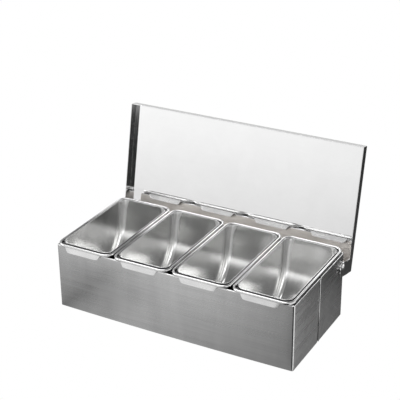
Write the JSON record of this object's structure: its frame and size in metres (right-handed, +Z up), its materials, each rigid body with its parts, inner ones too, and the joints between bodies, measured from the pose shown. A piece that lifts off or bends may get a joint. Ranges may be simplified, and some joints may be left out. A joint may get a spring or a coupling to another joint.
{
  "type": "condiment caddy",
  "caption": "Brushed steel countertop condiment caddy: an open box with a row of lift-out rimmed trough pans and a full-width hinged lid that leans back on its rear flange.",
  "frame": {"origin": "middle of the underside of the box", "axes": "+X along the long front wall, -Y the front where the pan tabs hang, +Z up"},
  "size_m": [0.3136, 0.1928, 0.1985],
  "materials": {
    "box_sheet": "horizontally brushed stainless sheet with fine scratches",
    "base_sheet": "mill finish stainless sheet",
    "lid_sheet": "mirror polished inside, brushed outside",
    "pan_sheet": "satin deep-drawn stainless with brighter rolled rims",
    "hinge_hardware": "plain steel rivets and washers"
  },
  "bodies": {
    "shell": {"front_wrap": "box_sheet", "rear_wrap": "box_sheet", "base_pan": "base_sheet", "rivet_left": "hinge_hardware", "rivet_right": "hinge_hardware", "spacer_left": "hinge_hardware", "spacer_right": "hinge_hardware", "backer_left": "hinge_hardware", "backer_right": "hinge_hardware"},
    "lid": {"lid": "lid_sheet"},
    "pan_1": {"pan_1": "pan_sheet"},
    "pan_2": {"pan_2": "pan_sheet"},
    "pan_3": {"pan_3": "pan_sheet"},
    "pan_4": {"pan_4": "pan_sheet"}
  },
  "joints": [
    {"name": "lid_hinge", "type": "hinge", "parent": "shell", "child": "lid", "pos_m": [0, 0.0612, 0.0674], "axis": [-1, 0, 0], "range_deg": [-101.4, 0]},
    {"name": "pan_1_lift", "type": "slide", "parent": "shell", "child": "pan_1", "axis": [0, 0, 1], "range_m": [0, 0.09]},
    {"name": "pan_2_lift", "type": "slide", "parent": "shell", "child": "pan_2", "axis": [0, 0, 1], "range_m": [0, 0.09]},
    {"name": "pan_3_lift", "type": "slide", "parent": "shell", "child": "pan_3", "axis": [0, 0, 1], "range_m": [0, 0.09]},
    {"name": "pan_4_lift", "type": "slide", "parent": "shell", "child": "pan_4", "axis": [0, 0, 1], "range_m": [0, 0.09]}
  ]
}
